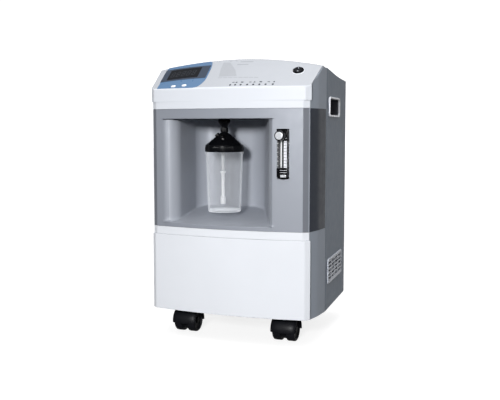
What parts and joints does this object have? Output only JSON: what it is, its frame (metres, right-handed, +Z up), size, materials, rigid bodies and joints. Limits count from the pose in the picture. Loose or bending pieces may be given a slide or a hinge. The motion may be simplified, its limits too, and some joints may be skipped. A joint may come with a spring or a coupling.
{
  "type": "oxygen concentrator",
  "caption": "Floor-standing oxygen concentrator with front bottle niche, flow meter, sloping control fascia and swivel castors.",
  "frame": {"origin": "on the floor, at the centre of the overall footprint", "axes": "+Z up, front faces -Y, +X to the right of a person facing the front"},
  "size_m": [0.3796, 0.366, 0.6],
  "materials": {
    "white_shell": "satin moulded ABS, fine texture",
    "grey_shell": "satin moulded ABS, fine texture",
    "panel_grey": "satin metallic-look paint",
    "charcoal_trim": "satin",
    "grip_white": "gloss",
    "grille_grey": "satin",
    "dark_plastic": "matte",
    "black_plastic": "matte",
    "black_gloss": "gloss",
    "foam": "open-cell foam",
    "button_white": "gloss",
    "label_blue": "satin film",
    "lcd": "gloss window",
    "acrylic": "polished",
    "scale_white": "satin",
    "float_black": "gloss",
    "knob": "polished face, black rim",
    "jar_frosted": "frosted",
    "tube_white": "satin",
    "rubber": "matte",
    "castor_black": "satin",
    "tyre": "satin",
    "tray_steel": "zinc-coated sheet",
    "cast_alloy": "bead blasted",
    "rotor_steel": "machined",
    "copper": "drawn copper tube",
    "pcb_green": "solder mask",
    "screw_steel": "zinc"
  },
  "bodies": {
    "cabinet": {"top_cover": "white_shell", "rear_top_cover": "grey_shell", "mid_front_panel": "panel_grey", "waist_rail": "white_shell", "lower_front_panel": "white_shell", "left_corner_panel": "grey_shell", "right_corner_panel": "grey_shell", "left_trim_inlay": "charcoal_trim", "right_trim_inlay": "charcoal_trim", "left_side_panel": "grey_shell", "right_side_panel": "grey_shell", "rear_panel": "grey_shell", "base_tray": "tray_steel", "left_hand_grip": "grip_white", "right_hand_grip": "grip_white", "left_vent_grille": "grille_grey", "right_vent_grille": "grille_grey", "foam_filter": "foam", "power_inlet": "black_plastic", "breaker_body": "black_plastic", "display_label": "label_blue", "lcd_window": "lcd", "switch_bezel": "black_gloss", "flowmeter_body": "acrylic", "flowmeter_ends": "black_gloss", "flowmeter_scale": "scale_white", "outlet_fitting": "black_gloss", "humidifier_lid": "black_gloss", "down_tube": "tube_white", "inner_shelf": "tray_steel", "compressor": "cast_alloy", "rubber_mounts": "rubber", "cooling_fan_frame": "black_plastic", "left_sieve_bed": "cast_alloy", "right_sieve_bed": "cast_alloy", "oxygen_tank": "cast_alloy", "valve_block": "cast_alloy", "heat_exchanger": "copper", "control_board": "pcb_green", "cover_screws": "screw_steel"},
    "rocker": {"switch_rocker": "black_gloss"},
    "left_key": {"left_button": "button_white"},
    "right_key": {"right_button": "button_white"},
    "float": {"flowmeter_float": "float_black"},
    "flow_knob": {"flowmeter_knob": "knob"},
    "nut": {"connector_nut": "black_gloss"},
    "jar_seal": {"jar_gasket": "rubber"},
    "jar": {"humidifier_jar": "jar_frosted"},
    "swivel_front_left": {"castor_front_left": "castor_black"},
    "swivel_front_right": {"castor_front_right": "castor_black"},
    "swivel_rear_left": {"castor_rear_left": "castor_black"},
    "swivel_rear_right": {"castor_rear_right": "castor_black"},
    "roll_front_left": {"wheels_front_left": "tyre"},
    "roll_front_right": {"wheels_front_right": "tyre"},
    "roll_rear_left": {"wheels_rear_left": "tyre"},
    "roll_rear_right": {"wheels_rear_right": "tyre"},
    "compressor_shaft": {"compressor_rotor": "rotor_steel"},
    "fan": {"cooling_fan_rotor": "dark_plastic"},
    "filter_door": {"filter_cover": "dark_plastic"},
    "reset_button": {"breaker_button": "button_white"}
  },
  "joints": [
    {"name": "rocker_tilt", "type": "hinge", "parent": "cabinet", "child": "rocker", "pos_m": [0.1408, -0.104, 0.56876], "axis": [-1, 0, 0], "range_deg": [0, 14]},
    {"name": "left_key_press", "type": "slide", "parent": "cabinet", "child": "left_key", "axis": [0, 0.5829, -0.8125], "range_m": [0, 0.001], "stiffness_N_per_m": 400, "springref_m": -0.0004},
    {"name": "right_key_press", "type": "slide", "parent": "cabinet", "child": "right_key", "axis": [0, 0.5829, -0.8125], "range_m": [0, 0.001], "stiffness_N_per_m": 400, "springref_m": -0.0004},
    {"name": "reset_press", "type": "slide", "parent": "cabinet", "child": "reset_button", "axis": [0, -1, 0], "range_m": [0, 0.002], "stiffness_N_per_m": 500, "springref_m": -0.0006},
    {"name": "flow_knob_turn", "type": "hinge", "parent": "cabinet", "child": "flow_knob", "pos_m": [0.1255, -0.175, 0.4364], "axis": [0, -1, 0], "range_deg": [0, 900]},
    {"name": "float_rise", "type": "slide", "parent": "cabinet", "child": "float", "axis": [0, 0, 1], "range_m": [0, 0.048]},
    {"name": "nut_turn", "type": "hinge", "parent": "cabinet", "child": "nut", "pos_m": [-0.026, -0.1, 0.444], "axis": [0, 0, 1], "range_deg": [0, 720]},
    {"name": "seal_drop", "type": "slide", "parent": "cabinet", "child": "jar_seal", "axis": [0, 0, -1], "range_m": [0, 0.00505]},
    {"name": "jar_unscrew", "type": "hinge", "parent": "jar_seal", "child": "jar", "pos_m": [-0.026, -0.1, 0.34], "axis": [0, 0, -1], "range_deg": [0, 450]},
    {"name": "swivel_front_left", "type": "hinge", "parent": "cabinet", "child": "swivel_front_left", "pos_m": [-0.115, -0.082, 0.07], "axis": [0, 0, 1], "continuous": true},
    {"name": "roll_front_left", "type": "hinge", "parent": "swivel_front_left", "child": "roll_front_left", "pos_m": [-0.115, -0.098, 0.025], "axis": [1, 0, 0], "continuous": true},
    {"name": "swivel_front_right", "type": "hinge", "parent": "cabinet", "child": "swivel_front_right", "pos_m": [0.115, -0.082, 0.07], "axis": [0, 0, 1], "continuous": true},
    {"name": "roll_front_right", "type": "hinge", "parent": "swivel_front_right", "child": "roll_front_right", "pos_m": [0.115, -0.098, 0.025], "axis": [1, 0, 0], "continuous": true},
    {"name": "swivel_rear_left", "type": "hinge", "parent": "cabinet", "child": "swivel_rear_left", "pos_m": [-0.08, 0.128, 0.07], "axis": [0, 0, 1], "continuous": true},
    {"name": "roll_rear_left", "type": "hinge", "parent": "swivel_rear_left", "child": "roll_rear_left", "pos_m": [-0.08, 0.112, 0.025], "axis": [1, 0, 0], "continuous": true},
    {"name": "swivel_rear_right", "type": "hinge", "parent": "cabinet", "child": "swivel_rear_right", "pos_m": [0.08, 0.128, 0.07], "axis": [0, 0, 1], "continuous": true},
    {"name": "roll_rear_right", "type": "hinge", "parent": "swivel_rear_right", "child": "roll_rear_right", "pos_m": [0.08, 0.112, 0.025], "axis": [1, 0, 0], "continuous": true},
    {"name": "compressor_spin", "type": "hinge", "parent": "cabinet", "child": "compressor_shaft", "pos_m": [0, -0.01, 0.14], "axis": [1, 0, 0], "continuous": true},
    {"name": "fan_spin", "type": "hinge", "parent": "cabinet", "child": "fan", "pos_m": [0.01, 0.044, 0.245], "axis": [0, 0, 1], "continuous": true},
    {"name": "filter_pull", "type": "slide", "parent": "cabinet", "child": "filter_door", "axis": [0, 1, 0], "range_m": [0, 0.04]}
  ],
  "couplings": [
    {"joint": "seal_drop", "follows": "jar_unscrew", "m_per_rad": 0.00063662}
  ]
}
